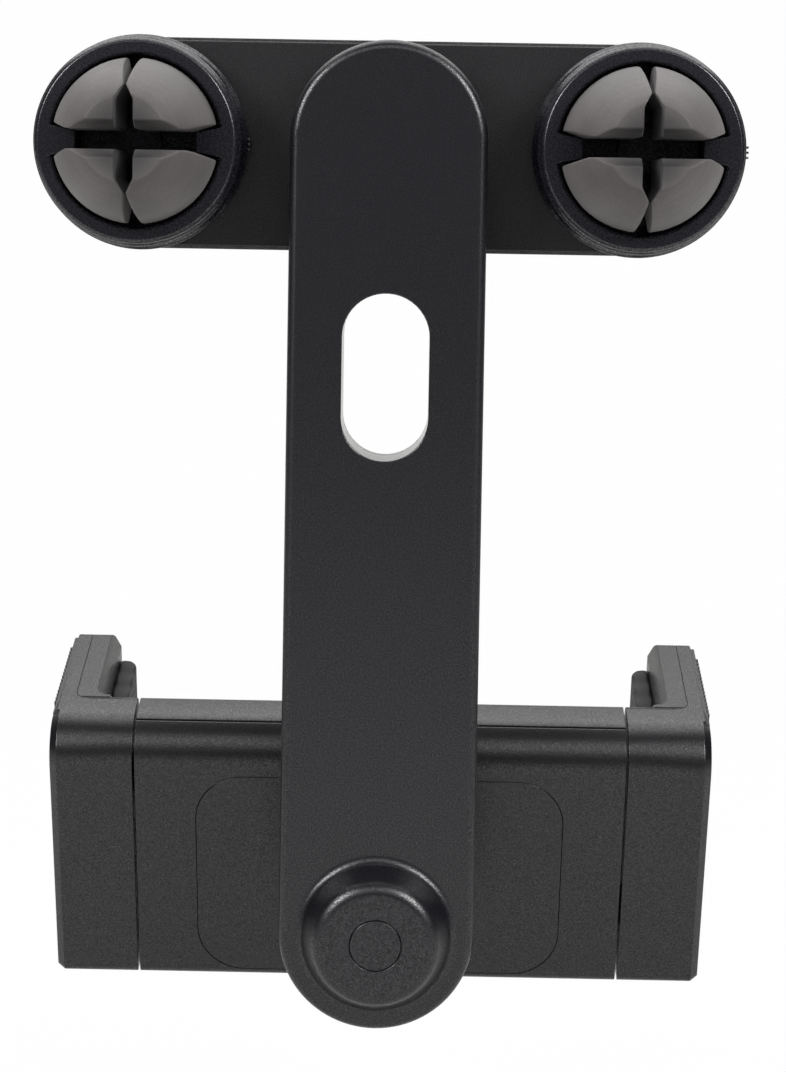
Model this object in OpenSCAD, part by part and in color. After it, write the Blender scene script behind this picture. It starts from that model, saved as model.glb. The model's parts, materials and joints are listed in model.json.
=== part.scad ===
// Twin-clip air vent phone holder
// X runs along the bar, +Y from the vent towards the driver, +Z up.
// The origin is midway between the two vent clips, in the plane of their collars' stop faces.
// The cradle is drawn square on its own ball and then leaned by cradle_tilt.

/* [Vent clips] */
// Distance between the two clip axes
clip_spacing = 63.5; // [56:0.5:75]
// Outer diameter of a clip's collar flange
flange_d = 25.5; // [23:0.1:28]
// Thickness of the collar flange
flange_t = 1.6; // [1.2:0.1:2]
// Height of the collar in front of the bar
collar_h = 8; // [7:0.1:10]
// Outer diameter of the collar wall behind the flange
collar_d = 26.2; // [25.6:0.1:26.8]
// Wall of the collar cup
collar_wall = 1.4; // [1:0.1:1.8]
// Diameter of the ring at the foot of the collar
ring_d = 27.2; // [26:0.1:30]
// Thickness of the ring and the cup floor
ring_t = 1.6; // [1.2:0.1:2]
// Diameter of the collar's opening around the fingers
opening_d = 21.4; // [20.6:0.1:23]
// How far the two wedge tabs stand in from the flange's edge
tab_reach = 5.2; // [3:0.1:6]
// Width of a wedge tab at the flange
tab_w = 4.2; // [3:0.1:5]
// Reach of the fingers in front of the collar
finger_reach = 13.7; // [10:0.1:18]
// Diameter over the rubber boots
boot_d = 20.6; // [19:0.1:21]
// Thickness of the rubber boots
boot_t = 1.2; // [0.9:0.1:1.6]
// Width of the wide slot for a thick vane
wide_slot = 2.5; // [1.8:0.1:3.2]
// Gap where the boots pinch a thin vane
narrow_slot = 0.3; // [0.2:0.1:0.8]
// Height of the lead-in along the wide slot, at the tips
vane_lead = 1; // [0.4:0.1:1.2]
// Number of index ribs on the ring
index_ribs = 3; // [1:1:5]

/* [Bar] */
// Height of the bar
bar_h = 26.8; // [24:0.1:30]
// Depth of the bar
bar_depth = 9.4; // [8:0.1:14]
// Wall of the bar
bar_wall = 1.8; // [1.4:0.1:2.2]
// Thickness of the bar's cover
bar_cover_t = 1.6; // [1.2:0.1:2.2]

/* [Arm] */
// Width of the arm at its top
arm_top_w = 24.7; // [22:0.1:27]
// Width of the arm at its lower end
arm_low_w = 25.3; // [24:0.1:28]
// Height of the arm's top centre over the clip axes
arm_rise = 0.6; // [0:0.1:2]
// Distance from the clip axes down to the ball's centre
arm_len = 101.2; // [90:0.5:120]
// Depth of the arm
arm_depth = 10; // [9:0.1:12]
// Wall of the arm
arm_wall = 1.8; // [1.4:0.1:2.2]
// Thickness of the arm's cover
arm_cover_t = 1.6; // [1.2:0.1:2.2]
// Radius around the arm's vent side
arm_round = 1.2; // [0.6:0.1:1.5]
// Width of the through slot
slot_w = 11; // [8:0.1:13]
// Distance from the clip axes down to the slot's upper centre
slot_top = 23.9; // [22:0.1:30]
// Distance between the slot's two centres
slot_run = 10.1; // [6:0.1:16]

/* [Ball joint] */
// Diameter of the ball
ball_d = 13.8; // [12:0.1:14.2]
// Thickness of the ball's liner
liner_t = 0.7; // [0.5:0.05:0.9]
// Depth of the ball's centre inside the arm's cover face
ball_inset = 3.4; // [2.5:0.1:4]
// Diameter of the ball's neck
neck_d = 6.8; // [5:0.1:7.2]
// Diameter of the dome's foot on the arm's vent side
dome_d = 21.6; // [21:0.1:23]
// Height of the dome
dome_h = 4.5; // [4:0.1:6]
// Diameter of the dome's flat top
dome_top_d = 13; // [12.6:0.1:13.6]
// Diameter of the plug in the dome
plug_d = 6.6; // [4:0.1:8]
// Thickness of the socket ring's flange
socket_flange_t = 1.2; // [0.8:0.1:1.6]
// Diameter of the socket ring's flange
socket_flange_d = 21; // [19.5:0.1:23]
// Distance from the ball's centre to the cradle's back
cradle_gap = 12.7; // [12:0.1:16]
// Lean of the cradle's top towards the vent in the drawn pose
cradle_tilt = 16; // [-20:0.5:20]

/* [Cradle] */
// Width of the housing between the jaws
housing_w = 66; // [62:0.5:76]
// Top of the cradle over the ball's axis
cradle_top = 21; // [20:0.1:24]
// Bottom of the cradle under the ball's axis
cradle_low = 17.1; // [16:0.1:20]
// Thickness of the cradle
cradle_t = 10.6; // [10:0.1:13]
// Depth of the rear shell, up to its seam
rear_shell_t = 4.2; // [4:0.1:5]
// Wall of the two shells
shell_wall = 1.6; // [1.2:0.1:2]
// Radius along the cradle's upper back edge
back_round = 6; // [4:0.1:8]
// Radius along its other long edges
edge_round = 1.2; // [0.6:0.1:2]
// Width of the joint panel
panel_w = 49.6; // [44:0.1:54]
// Height of the joint panel
panel_h = 30.2; // [28:0.1:31]
// Thickness of the joint panel
panel_t = 1.4; // [1:0.1:1.6]
// Corner radius of the joint panel
panel_round = 6.5; // [4:0.1:8]
// Diameter of the flared hub at the panel
hub_d = 27; // [24:0.1:28]
// Width of the front pad
pad_w = 56; // [40:0.5:60]
// Height of the front pad
pad_h = 28; // [20:0.5:32]
// Thickness of the front pad
pad_t = 1.2; // [0.8:0.1:2]
// Number of shallow grooves in the front pad
pad_grooves = 6; // [3:1:9]

/* [Jaws] */
// Width of a jaw's cap beside the housing
jaw_w = 11.2; // [10:0.1:14]
// Reach of a jaw's arm in front of the housing
jaw_reach = 20.6; // [14:0.1:24]
// Thickness of a jaw's outer half
jaw_outer_t = 2.6; // [2:0.1:3.2]
// Thickness of a jaw's inner half
jaw_inner_t = 2.7; // [2:0.1:3.4]
// Thickness of a jaw's rubber pad
jaw_pad_t = 2.4; // [1.6:0.1:3]
// Width of the chamfer along a jaw's inner edges
jaw_chamfer_w = 1.2; // [0.6:0.1:1.6]
// Height of the chamfer along a jaw's inner edges
jaw_chamfer_h = 2.4; // [1:0.1:3]
// Travel of each jaw
jaw_travel = 12.5; // [8:0.5:13]
// Number of grip ribs on a jaw's outer side
jaw_ribs = 16; // [3:1:17]

/* [Gear] */
// Module of the rack and pinion
gear_module = 1; // [0.8:0.05:1]
// Number of teeth on the pinion
pinion_teeth = 12; // [12:1:12]
// Pressure angle of the teeth
pressure_angle = 25; // [22:1:26]
// Play between the teeth
backlash = 0.3; // [0.2:0.05:0.4]
// Thickness of the racks and the pinion
gear_t = 2.4; // [1.6:0.1:2.6]
// Height of a rack bar over its teeth
rack_h = 5; // [4:0.1:5.5]

/* [Screws and springs] */
// Diameter of the small screws
screw_d = 2; // [1.6:0.1:2.2]
// Head diameter of the small screws
head_d = 3.8; // [3.4:0.1:4]
// Head height of the small screws
head_h = 1.2; // [1:0.1:1.4]
// Diameter of the clip and stud screws
bolt_d = 2.6; // [2.2:0.1:3]
// Head diameter of the clip and stud screws
bolt_head_d = 5.6; // [5:0.1:6]
// Wire of the jaw springs
wire_d = 0.5; // [0.3:0.05:0.6]
// Mean diameter of the jaw springs
coil_d = 3.4; // [2.6:0.1:3.6]
// Number of turns in a jaw spring
coil_turns = 9; // [6:1:12]

/* [Fits] */
// Radial clearance of a turning fit
turn_clear = 0.06; // [0.04:0.01:0.1]
// Clearance of a sliding fit
slide_clear = 0.3; // [0.2:0.05:0.4]
// Clearance between pieces that are fixed together
fixed_clear = 0.05; // [0.03:0.01:0.1]
// Gap between faces that turn over each other
face_gap = 0.3; // [0.15:0.05:0.4]

/* [Hidden] */
$fn = 96;
cut = 0.01;
far = 200;

// Heights along Y of the bar and the arm, all taken from the collar's stop face at 0
bar_face = collar_h;
bar_inner = bar_face + bar_wall;
bar_back = bar_face + bar_depth;
cover_seat = bar_back - bar_cover_t;
arm_back = bar_face;
arm_front = arm_back - arm_depth;
arm_seat = arm_back - arm_cover_t;
arm_floor = arm_front + arm_wall;
collar_foot = bar_face - face_gap;
collar_floor = collar_foot - ring_t;

// The clip's turning fit in the bar
spigot_r = 4;
spigot_end = bar_inner + 0.1;
washer_r = 6.2;
washer_t = 0.6;
washer_seat = bar_inner + face_gap;
core_disc_r = 9.6;
core_disc_t = 1.8;
core_boss_r = 3;
core_boss_h = 2.4;
core_boss_floor = 0.8;
boot_foot = 1.4;
index_step = 2.7;
index_w = 0.3;

// Places of the screws
bar_screw_x = 16;
bar_screw_z = bar_h / 2 - bar_wall - 3;
arm_bar_screw_x = 6;
arm_screw_side = arm_top_w / 2 - arm_wall - 2.4;
arm_screw_places = [[-arm_screw_side, 16], [arm_screw_side, 16],
    [-arm_screw_side, slot_top + slot_run + 13], [arm_screw_side, slot_top + slot_run + 13],
    [0, (slot_top + slot_run + arm_len) / 2], [0, arm_len - 13.2]];
boss_r = screw_d / 2 + 1.1;
pilot_r = screw_d / 2 - 0.15;
shank_r = pilot_r - 0.03;
bolt_r = bolt_d / 2 - 0.1;
bolt_shank_r = bolt_r - 0.03;

// The socket around the ball
ball_y = arm_back - ball_inset;
ball_r = ball_d / 2;
seat_r = ball_r + turn_clear + liner_t + turn_clear;
socket_r = seat_r + 0.7;
tube_r = socket_r + 1.2;
spring_t = 0.8;
dome_front = arm_front - dome_h;
dome_inner = dome_front + 1.5;
dome_round = 2;
dome_foot = 1.4;
dome_side = 66;
cup_foot = dome_inner + spring_t;
cup_step = cup_foot + 1.8;
step_r = socket_r - 1;
cup_rim = ball_y - face_gap;
ring_rim = ball_y + face_gap;
ring_mouth = arm_back + socket_flange_t;
liner_open = 43;

// The cradle's own heights, from the ball's centre: n away from the vent, h up
n_back = cradle_gap;
n_front = n_back + cradle_t;
n_seam = n_back + rear_shell_t;
n_pocket = n_back + panel_t;
n_wall = n_pocket + 1.4;
n_tip = n_front + jaw_reach;
h_mid = (cradle_top - cradle_low) / 2;
panel_mid = -0.8;
half_housing = housing_w / 2;
jaw_in = half_housing + slide_clear;
jaw_out = jaw_in + jaw_w;
jaw_split = jaw_out - jaw_outer_t;
jaw_edge = jaw_split - jaw_inner_t;
jaw_face = jaw_edge - jaw_chamfer_w;
foot_t = 1.3;
split_round = 2;
corner_r = 2;
tip_round = 0.8;
rib_margin = 0.8;
rib_w = 0.5;
seam_w = 0.25;
seam_depth = 0.5;
stud_collar_t = 0.8;
hub_front = n_back - 3.5;
shell_screw_places = [[-13, h_mid], [13, h_mid],
    [-19, panel_mid - panel_h / 2 + 2.7], [19, panel_mid - panel_h / 2 + 2.7]];

// The gear train lies in one layer
pitch_r = gear_module * pinion_teeth / 2;
base_r = pitch_r * cos(pressure_angle);
tooth_pitch = PI * gear_module;
gear_n = (n_wall + n_front - shell_wall) / 2;
gear_back = gear_n - gear_t / 2;
gear_fore = gear_n + gear_t / 2;
pin_r = 1.4;
rack_end = jaw_travel + 4;
rack_root = pitch_r + 1.25 * gear_module;
rack_in_jaw = jaw_in + 6.5;
spring_h = rack_root + rack_h / 2;
jaw_wall = 1;
jaw_screw_x = jaw_in + 2.4;
jaw_head_r = 1.6;
jaw_head_h = 0.8;
jaw_boss_r = 1.85;
guide_start = jaw_travel - rack_end + 1;
jaw_pad_start = n_front + 2;
jaw_pad_end = n_tip - 1.5;
pad_tip_round = 2.2;
pad_corner = 0.8;

function polar(r, a) = [r * cos(a), r * sin(a)];
function arc(c, r, from, to, n) = [for (i = [0 : n]) c + polar(r, from + (to - from) * i / n)];
function inner_round(r, inset) = max(r - inset, 0.3);

// Extrudes an outline drawn in X and Z from y0 to y1
module slab_y(y0, y1) {
    translate([0, y1, 0]) rotate([90, 0, 0]) linear_extrude(y1 - y0) children();
}

// Extrudes an outline drawn in Y and Z from x0 to x1
module slab_x(x0, x1) {
    translate([x0, 0, 0]) rotate([90, 0, 90]) linear_extrude(x1 - x0) children();
}

// Turns a profile of [radius, y] points about the Y axis
module turned(points) {
    rotate([-90, 0, 0]) rotate_extrude() polygon(points);
}

module rod_y(r, y0, y1) {
    translate([0, y0, 0]) rotate([-90, 0, 0]) cylinder(h = y1 - y0, r = r);
}

module ball(r) {
    sphere(r = r, $fn = 128);
}

// A screw whose head lies at y, with its shank running to the end
module screw(r, head_r, head_t, y, end) {
    rod_y(r, min(y, end), max(y, end));
    rod_y(head_r, min(y, y + sign(y - end) * head_t), max(y, y + sign(y - end) * head_t));
}

// Places
module at_clip(side) {
    translate([side * clip_spacing / 2, 0, 0]) children();
}

module at_ball() {
    translate([0, ball_y, -arm_len]) children();
}

module on_cradle() {
    at_ball() rotate([cradle_tilt, 0, 0]) children();
}

// Bar
module bar_outline(inset) {
    square([clip_spacing, bar_h - 2 * inset], center = true);
    for (side = [-1, 1]) {
        translate([side * clip_spacing / 2, 0]) circle(r = bar_h / 2 - inset);
    }
}

module bar_screw_places() {
    for (x = [-bar_screw_x, bar_screw_x], z = [-bar_screw_z, bar_screw_z]) translate([x, 0, z]) children();
}

module arm_bar_spots() {
    for (x = [-arm_bar_screw_x, arm_bar_screw_x]) translate([x, 0, 0]) children();
}

module bar_housing() {
    color("#1d1c20") difference() {
        union() {
            difference() {
                union() {
                    slab_y(bar_face + 0.5, cover_seat) bar_outline(0);
                    slab_y(bar_face, bar_face + 0.5) bar_outline(0.4);
                }
                slab_y(bar_inner, bar_back) bar_outline(bar_wall);
            }
            bar_screw_places() rod_y(boss_r, bar_inner - cut, cover_seat - 1);
        }
        bar_screw_places() rod_y(pilot_r, bar_inner, bar_back);
        for (side = [-1, 1]) at_clip(side) rod_y(spigot_r + turn_clear, 0, bar_back);
        arm_bar_spots() rod_y(screw_d / 2 + fixed_clear, 0, bar_back);
    }
}

module bar_cover() {
    color("#1d1c20") difference() {
        union() {
            slab_y(cover_seat, bar_back - 0.5) bar_outline(0);
            slab_y(bar_back - 0.5, bar_back) bar_outline(0.4);
            difference() {
                slab_y(cover_seat - 1, cover_seat + cut) bar_outline(bar_wall + fixed_clear);
                slab_y(cover_seat - 2, cover_seat + 2 * cut) bar_outline(bar_wall + 1.2);
            }
            bar_screw_places() rod_y(boss_r, cover_seat - 1, cover_seat + cut);
        }
        bar_screw_places() {
            rod_y(screw_d / 2 + fixed_clear, 0, far);
            rod_y(head_d / 2 + fixed_clear, bar_back - head_h, far);
        }
    }
}

module bar_cover_screws() {
    color("#3c3c40") bar_screw_places() screw(shank_r, head_d / 2, head_h, bar_back - head_h, bar_inner + 1);
}

module arm_bar_screws() {
    color("#8c8c90") arm_bar_spots() screw(shank_r, head_d / 2, head_h, bar_inner, arm_floor + 1);
}

// Vent clips
module clip_tab(grow) {
    inner = flange_d / 2 - tab_reach - grow;
    outer = collar_d / 2 - collar_wall + 0.3;
    for (side = [-1, 1]) {
        slab_y(0, collar_floor + cut) polygon([[side * inner, -wide_slot / 2 - grow],
            [side * outer, -tab_w / 2 - grow], [side * outer, tab_w / 2 + grow],
            [side * inner, wide_slot / 2 + grow]]);
    }
}

module clip_collar() {
    color("#242327") {
        turned([[opening_d / 2, 0.3], [opening_d / 2 + 0.3, 0], [flange_d / 2 - 0.4, 0],
            [flange_d / 2, 0.4], [flange_d / 2, flange_t - 0.2], [collar_d / 2, flange_t + 0.2],
            [collar_d / 2, collar_floor - 0.4], [ring_d / 2 - 0.3, collar_floor],
            [ring_d / 2, collar_floor + 0.3], [ring_d / 2, collar_foot],
            [spigot_r, collar_foot], [spigot_r, spigot_end],
            [bolt_d / 2 + fixed_clear, spigot_end], [bolt_d / 2 + fixed_clear, collar_floor],
            [collar_d / 2 - collar_wall, collar_floor], [collar_d / 2 - collar_wall, flange_t],
            [opening_d / 2, flange_t]]);
        clip_tab(0);
        for (i = [0 : index_ribs - 1]) {
            rotate([0, (i - (index_ribs - 1) / 2) * index_step, 0])
                translate([ring_d / 2 - 0.1, collar_floor + 0.4, -index_w / 2])
                    cube([0.5, ring_t - 0.6, index_w]);
        }
    }
}

// A finger's section, t inside the boot's own
function finger_section(t) = [[1.15 + t, wide_slot / 2 + t], [7.4, wide_slot / 2 + t],
    [boot_d / 2 - 0.2, wide_slot / 2 + t + 0.95], [far / 10, wide_slot / 2 + t + 0.95], [far / 10, far / 10],
    [0.95 + t, far / 10], [0.95 + t, boot_d / 2], [narrow_slot / 2 + t, 6.5], [1.15 + t, 4.8]];

// The boots' dome, t inside its surface: an arc from the flange to the flat tips
tip_angle = 62;
function dome_profile(t) = let(
        r = boot_d / 2 - t,
        reach = finger_reach - t)
    concat([[0, boot_foot]], [[r, boot_foot]],
        [for (i = [0 : 9]) let(a = tip_angle * i / 9)
            [r * pow(cos(a), 0.9), -reach * pow(sin(a) / sin(tip_angle), 1.15)]],
        [[0, -reach]]);

module four_fingers() {
    for (x = [0, 1], z = [0, 1]) mirror([x, 0, 0]) mirror([0, 0, z]) children();
}

module clip_core() {
    core_seat = collar_floor - core_disc_t;
    color("#26252a") difference() {
        union() {
            rod_y(core_disc_r, core_seat, collar_floor);
            rod_y(core_boss_r, core_seat - core_boss_h, core_seat + cut);
            four_fingers() intersection() {
                slab_y(-finger_reach, core_seat + cut) polygon(finger_section(boot_t));
                union() {
                    turned(dome_profile(boot_t));
                    rod_y(boot_d / 2 - boot_t, boot_foot - cut, core_seat + cut);
                }
            }
        }
        clip_tab(fixed_clear);
        rod_y(bolt_r, core_seat - core_boss_h + core_boss_floor, collar_floor + cut);
    }
}

module clip_boots() {
    color("#77747a") four_fingers() difference() {
        intersection() {
            slab_y(-finger_reach - 1, boot_foot) polygon(finger_section(0));
            turned(dome_profile(0));
        }
        slab_x(0, boot_d) polygon([[-finger_reach - 2 * vane_lead, 0],
            [-finger_reach - 2 * vane_lead, wide_slot / 2 + 2 * vane_lead],
            [2 * vane_lead - finger_reach, wide_slot / 2], [2 * vane_lead - finger_reach, 0]]);
        intersection() {
            slab_y(-finger_reach, boot_foot + 1) polygon(finger_section(boot_t - fixed_clear));
            union() {
                turned(dome_profile(boot_t - fixed_clear));
                rod_y(boot_d / 2 - boot_t + fixed_clear, boot_foot - cut, boot_foot + 1);
            }
        }
    }
}

module clip_washer() {
    color("#a8a8ac") difference() {
        rod_y(washer_r, washer_seat, washer_seat + washer_t);
        rod_y(bolt_d / 2 + fixed_clear, 0, far);
    }
}

module clip_screw() {
    color("#8c8c90") {
        screw(bolt_shank_r, bolt_head_d / 2, 2, washer_seat + washer_t,
            collar_floor - core_disc_t - core_boss_h + core_boss_floor + 0.2);
    }
}

module left_clip_collar() at_clip(-1) clip_collar();
module left_clip_core() at_clip(-1) clip_core();
module left_clip_boots() at_clip(-1) clip_boots();
module left_clip_washer() at_clip(-1) clip_washer();
module left_clip_screw() at_clip(-1) clip_screw();
module right_clip_collar() at_clip(1) clip_collar();
module right_clip_core() at_clip(1) clip_core();
module right_clip_boots() at_clip(1) clip_boots();
module right_clip_washer() at_clip(1) clip_washer();
module right_clip_screw() at_clip(1) clip_screw();

// Arm
module arm_outline(inset) {
    top_r = arm_top_w / 2 - inset;
    low_r = arm_low_w / 2 - inset;
    translate([0, arm_rise]) circle(r = top_r);
    translate([0, -arm_len]) circle(r = low_r);
    polygon([[-top_r, arm_rise], [top_r, arm_rise], [low_r, -arm_len], [-low_r, -arm_len]]);
}

// A thin slice of the arm's rounded vent side, angle degrees round from its face
round_steps = 5;
module arm_slice(angle) {
    y = arm_front + arm_round * (1 - cos(angle));
    slab_y(y, y + cut) arm_outline(arm_round * (1 - sin(angle)));
}

module slot_outline(grow) {
    r = slot_w / 2 + grow;
    for (z = [-slot_top, -slot_top - slot_run]) translate([0, z]) circle(r = r);
    translate([-r, -slot_top - slot_run]) square([2 * r, slot_run]);
}

// The dome's profile: a hollow curve at its foot, a steep side and a rounded crest
dome_outline = concat([[0, arm_floor], [dome_d / 2, arm_floor]],
    [for (a = [0 : 11 : dome_side]) [dome_d / 2 - dome_foot * sin(a), arm_front - dome_foot * (1 - cos(a))]],
    [for (a = [dome_side : -11 : 0]) [dome_top_d / 2 + dome_round * sin(a),
        dome_front + dome_round * (1 - cos(a))]],
    [[0, dome_front]]);

module arm_screw_spots() {
    for (p = arm_screw_places) translate([p[0], 0, -p[1]]) children();
}

module arm_shell() {
    color("#2a292d") difference() {
        union() {
            difference() {
                union() {
                    for (i = [0 : round_steps - 1]) hull() {
                        arm_slice(90 * i / round_steps);
                        arm_slice(90 * (i + 1) / round_steps);
                    }
                    slab_y(arm_front + arm_round, arm_seat) arm_outline(0);
                }
                slab_y(arm_floor, arm_seat + cut) arm_outline(arm_wall);
            }
            slab_y(arm_floor - cut, arm_seat) slot_outline(1.4);
            arm_screw_spots() rod_y(boss_r, arm_floor - cut, arm_seat);
            arm_bar_spots() rod_y(boss_r, arm_floor - cut, arm_seat);
            translate([0, 0, -arm_len]) rod_y(tube_r, arm_floor - cut, arm_seat);
            translate([0, 0, -arm_len]) turned(dome_outline);
        }
        slab_y(-far, far) slot_outline(0);
        arm_screw_spots() rod_y(pilot_r, arm_floor, far);
        arm_bar_spots() rod_y(pilot_r, arm_floor + 0.6, far);
        translate([0, 0, -arm_len]) {
            rod_y(socket_r + fixed_clear, cup_step, far);
            rod_y(step_r + fixed_clear, dome_inner, far);
            rod_y(plug_d / 2 + fixed_clear, -far, far);
        }
    }
}

module arm_cover() {
    color("#232226") difference() {
        union() {
            slab_y(arm_seat, arm_back) arm_outline(0);
            difference() {
                slab_y(arm_seat - 1.2, arm_seat) arm_outline(arm_wall + fixed_clear);
                slab_y(arm_seat - 1.3, arm_seat) arm_outline(arm_wall + 1.2);
                arm_screw_spots() rod_y(boss_r + fixed_clear, 0, far);
                translate([0, 0, -arm_len]) rod_y(tube_r + fixed_clear, 0, far);
            }
        }
        slab_y(-far, far) slot_outline(0);
        arm_screw_spots() {
            rod_y(screw_d / 2 + fixed_clear, 0, far);
            rod_y(head_d / 2 + fixed_clear, arm_back - head_h, far);
        }
        arm_bar_spots() rod_y(screw_d / 2 + fixed_clear, 0, far);
        translate([0, 0, -arm_len]) rod_y(socket_r + fixed_clear, 0, far);
    }
}

module arm_cover_screws() {
    color("#3c3c40") arm_screw_spots() screw(shank_r, head_d / 2, head_h, arm_back - head_h, arm_floor + 1);
}

module dome_plug() {
    color("#2a292d") translate([0, 0, -arm_len]) rod_y(plug_d / 2, dome_front, dome_inner);
}

// Ball socket
module socket_spring() {
    color("#a8a8ac") translate([0, 0, -arm_len]) difference() {
        rod_y(step_r - 0.1, dome_inner, cup_foot);
        rod_y(plug_d / 2, -far, far);
    }
}

module friction_cup() {
    color("#d8d6d0") difference() {
        translate([0, 0, -arm_len]) union() {
            rod_y(step_r - turn_clear, cup_foot + turn_clear, cup_step + 0.1);
            rod_y(socket_r + fixed_clear - turn_clear, cup_step + 0.1, cup_rim);
        }
        at_ball() ball(seat_r);
    }
}

module socket_ring() {
    color("#1f1e22") difference() {
        translate([0, 0, -arm_len]) union() {
            rod_y(socket_r, ring_rim, arm_back);
            rod_y(socket_flange_d / 2, arm_back, ring_mouth);
        }
        at_ball() ball(seat_r);
    }
}

module ball_liner() {
    color("#e4e2dc") on_cradle() turned(concat(
        arc([0, 0], seat_r - turn_clear, -90, 90 - liner_open, 24),
        arc([0, 0], ball_r + turn_clear, 90 - liner_open, -90, 24)));
}

module ball_stud() {
    color("#19181b") on_cradle() difference() {
        union() {
            ball(ball_r);
            rod_y(neck_d / 2, 0, n_pocket);
            rod_y(neck_d / 2 + 1.2, hub_front - stud_collar_t, hub_front);
        }
        rod_y(bolt_r, n_back - 6, far);
    }
}

module stud_screw() {
    color("#8c8c90") on_cradle() screw(bolt_shank_r, bolt_head_d / 2, 1.6, n_wall, n_back - 5.5);
}

// Cradle
function cradle_section(inset) = let(
        rt = inner_round(back_round, inset),
        re = inner_round(edge_round, inset))
    concat(arc([n_back + inset + rt, cradle_top - inset - rt], rt, 180, 90, 8),
        arc([n_front - inset - re, cradle_top - inset - re], re, 90, 0, 4),
        arc([n_front - inset - re, -cradle_low + inset + re], re, 0, -90, 4),
        arc([n_back + inset + re, -cradle_low + inset + re], re, -90, -180, 4));

module housing_block(inset) {
    slab_x(inset - half_housing, half_housing - inset) polygon(cradle_section(inset));
}

// The shadow line around the seam between the two shells
module seam_groove() {
    difference() {
        translate([-far / 2, n_seam - seam_w, -far / 2]) cube([far, seam_w + cut, far]);
        housing_block(seam_depth);
    }
}

module rounded(w, h, r) {
    for (x = [-1, 1], y = [-1, 1]) translate([x * (w / 2 - r), y * (h / 2 - r)]) circle(r = r);
    square([w - 2 * r, h], center = true);
    square([w, h - 2 * r], center = true);
}

module shell_screw_spots() {
    for (p = shell_screw_places) translate([p[0], 0, p[1]]) children();
}

// Ribs that the racks slide along
module rack_guides(n0, n1) {
    guide_end = half_housing - shell_wall + cut;
    slab_x(guide_start, guide_end) translate([n0, h_mid - spring_h - 0.6]) square([n1 - n0, 1.2]);
    slab_x(-guide_end, -guide_start) translate([n0, h_mid + spring_h - 0.6]) square([n1 - n0, 1.2]);
}

// The windows in the housing's ends that the racks pass through: low on the right, high on the left
module rack_windows() {
    for (side = [-1, 1]) {
        low = h_mid - slide_clear + (side > 0 ? -rack_root - rack_h : rack_root);
        translate([side * half_housing - 2, gear_back - slide_clear, low])
            cube([4, gear_t + 2 * slide_clear, rack_h + 2 * slide_clear]);
    }
}

module rear_shell() {
    color("#323136") on_cradle() difference() {
        union() {
            difference() {
                housing_block(0);
                housing_block(shell_wall);
                translate([-far / 2, n_seam, -far / 2]) cube(far);
                seam_groove();
            }
            intersection() {
                housing_block(0);
                slab_y(n_back, n_wall) translate([0, panel_mid]) {
                    rounded(panel_w + 3, panel_h + 1.6, panel_round + 0.8);
                }
            }
            shell_screw_spots() rod_y(head_d / 2 + 1, n_wall - cut, n_seam);
            rack_guides(n_back + shell_wall - cut, n_seam);
        }
        slab_y(n_back - 1, n_pocket) translate([0, panel_mid]) {
            rounded(panel_w + 2 * fixed_clear, panel_h + 2 * fixed_clear, panel_round);
        }
        shell_screw_spots() {
            rod_y(screw_d / 2 + fixed_clear, 0, far);
            rod_y(head_d / 2 + fixed_clear, 0, n_pocket + head_h);
        }
        rod_y(bolt_d / 2 + fixed_clear, 0, far);
    }
}

module front_shell() {
    color("#323136") on_cradle() difference() {
        union() {
            difference() {
                housing_block(0);
                housing_block(shell_wall);
                translate([-far / 2, n_seam - far, -far / 2]) cube(far);
            }
            shell_screw_spots() rod_y(boss_r, n_seam, n_front - shell_wall + cut);
            translate([0, 0, h_mid]) rod_y(pin_r + 1, gear_fore + face_gap, n_front - shell_wall + cut);
            rack_guides(gear_fore + slide_clear, n_front - shell_wall + cut);
        }
        shell_screw_spots() rod_y(pilot_r, 0, n_front - 1);
        translate([0, 0, h_mid]) rod_y(pin_r + fixed_clear, 0, n_front - 1);
        rack_windows();
    }
}

module joint_panel() {
    color("#323136") on_cradle() difference() {
        union() {
            slab_y(n_back, n_pocket) translate([0, panel_mid]) rounded(panel_w, panel_h, panel_round);
            turned(concat([[0, hub_front], [neck_d / 2 + 2, hub_front]],
                [for (i = [1 : 10]) [neck_d / 2 + 2 + (hub_d / 2 - neck_d / 2 - 2) * i / 10,
                    hub_front + (n_back - hub_front) * (1 - pow(1 - i / 10, 2.2))]],
                [[0, n_back + cut]]));
        }
        rod_y(neck_d / 2 + fixed_clear, 0, far);
    }
}

module shell_screws() {
    color("#8c8c90") on_cradle() shell_screw_spots() {
        screw(shank_r, head_d / 2, head_h - 0.1, n_pocket + head_h, n_front - shell_wall);
    }
}

module front_pad() {
    groove_step = pad_h / (pad_grooves + 1);
    color("#1a191b") on_cradle() difference() {
        slab_y(n_front, n_front + pad_t) translate([0, h_mid]) rounded(pad_w, pad_h, 4);
        for (i = [1 : pad_grooves]) {
            translate([5 - pad_w / 2, n_front + pad_t - 0.4, h_mid - pad_h / 2 + i * groove_step - 0.6])
                cube([pad_w - 10, 1, 1.2]);
        }
    }
}

// Gear train
function involute_angle(r) = let(t = sqrt(max(pow(r / base_r, 2) - 1, 0))) t * 180 / PI - atan(t);
function tooth_half(r) = 90 / pinion_teeth - backlash / 4 / pitch_r * 180 / PI
    + involute_angle(pitch_r) - involute_angle(r);
root_r = pitch_r - 1.25 * gear_module;
tip_r = pitch_r + 0.95 * gear_module;
flank = concat([root_r], [for (i = [0 : 5]) base_r + (tip_r - base_r) * i / 5]);

module pinion_outline() {
    step = 360 / pinion_teeth;
    back = [for (i = [len(flank) - 1 : -1 : 0]) flank[i]];
    polygon([for (k = [0 : pinion_teeth - 1]) each concat(
        [for (r = flank) polar(r, 90 + k * step - tooth_half(r))],
        [for (r = back) polar(r, 90 + k * step + tooth_half(r))])]);
}

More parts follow.
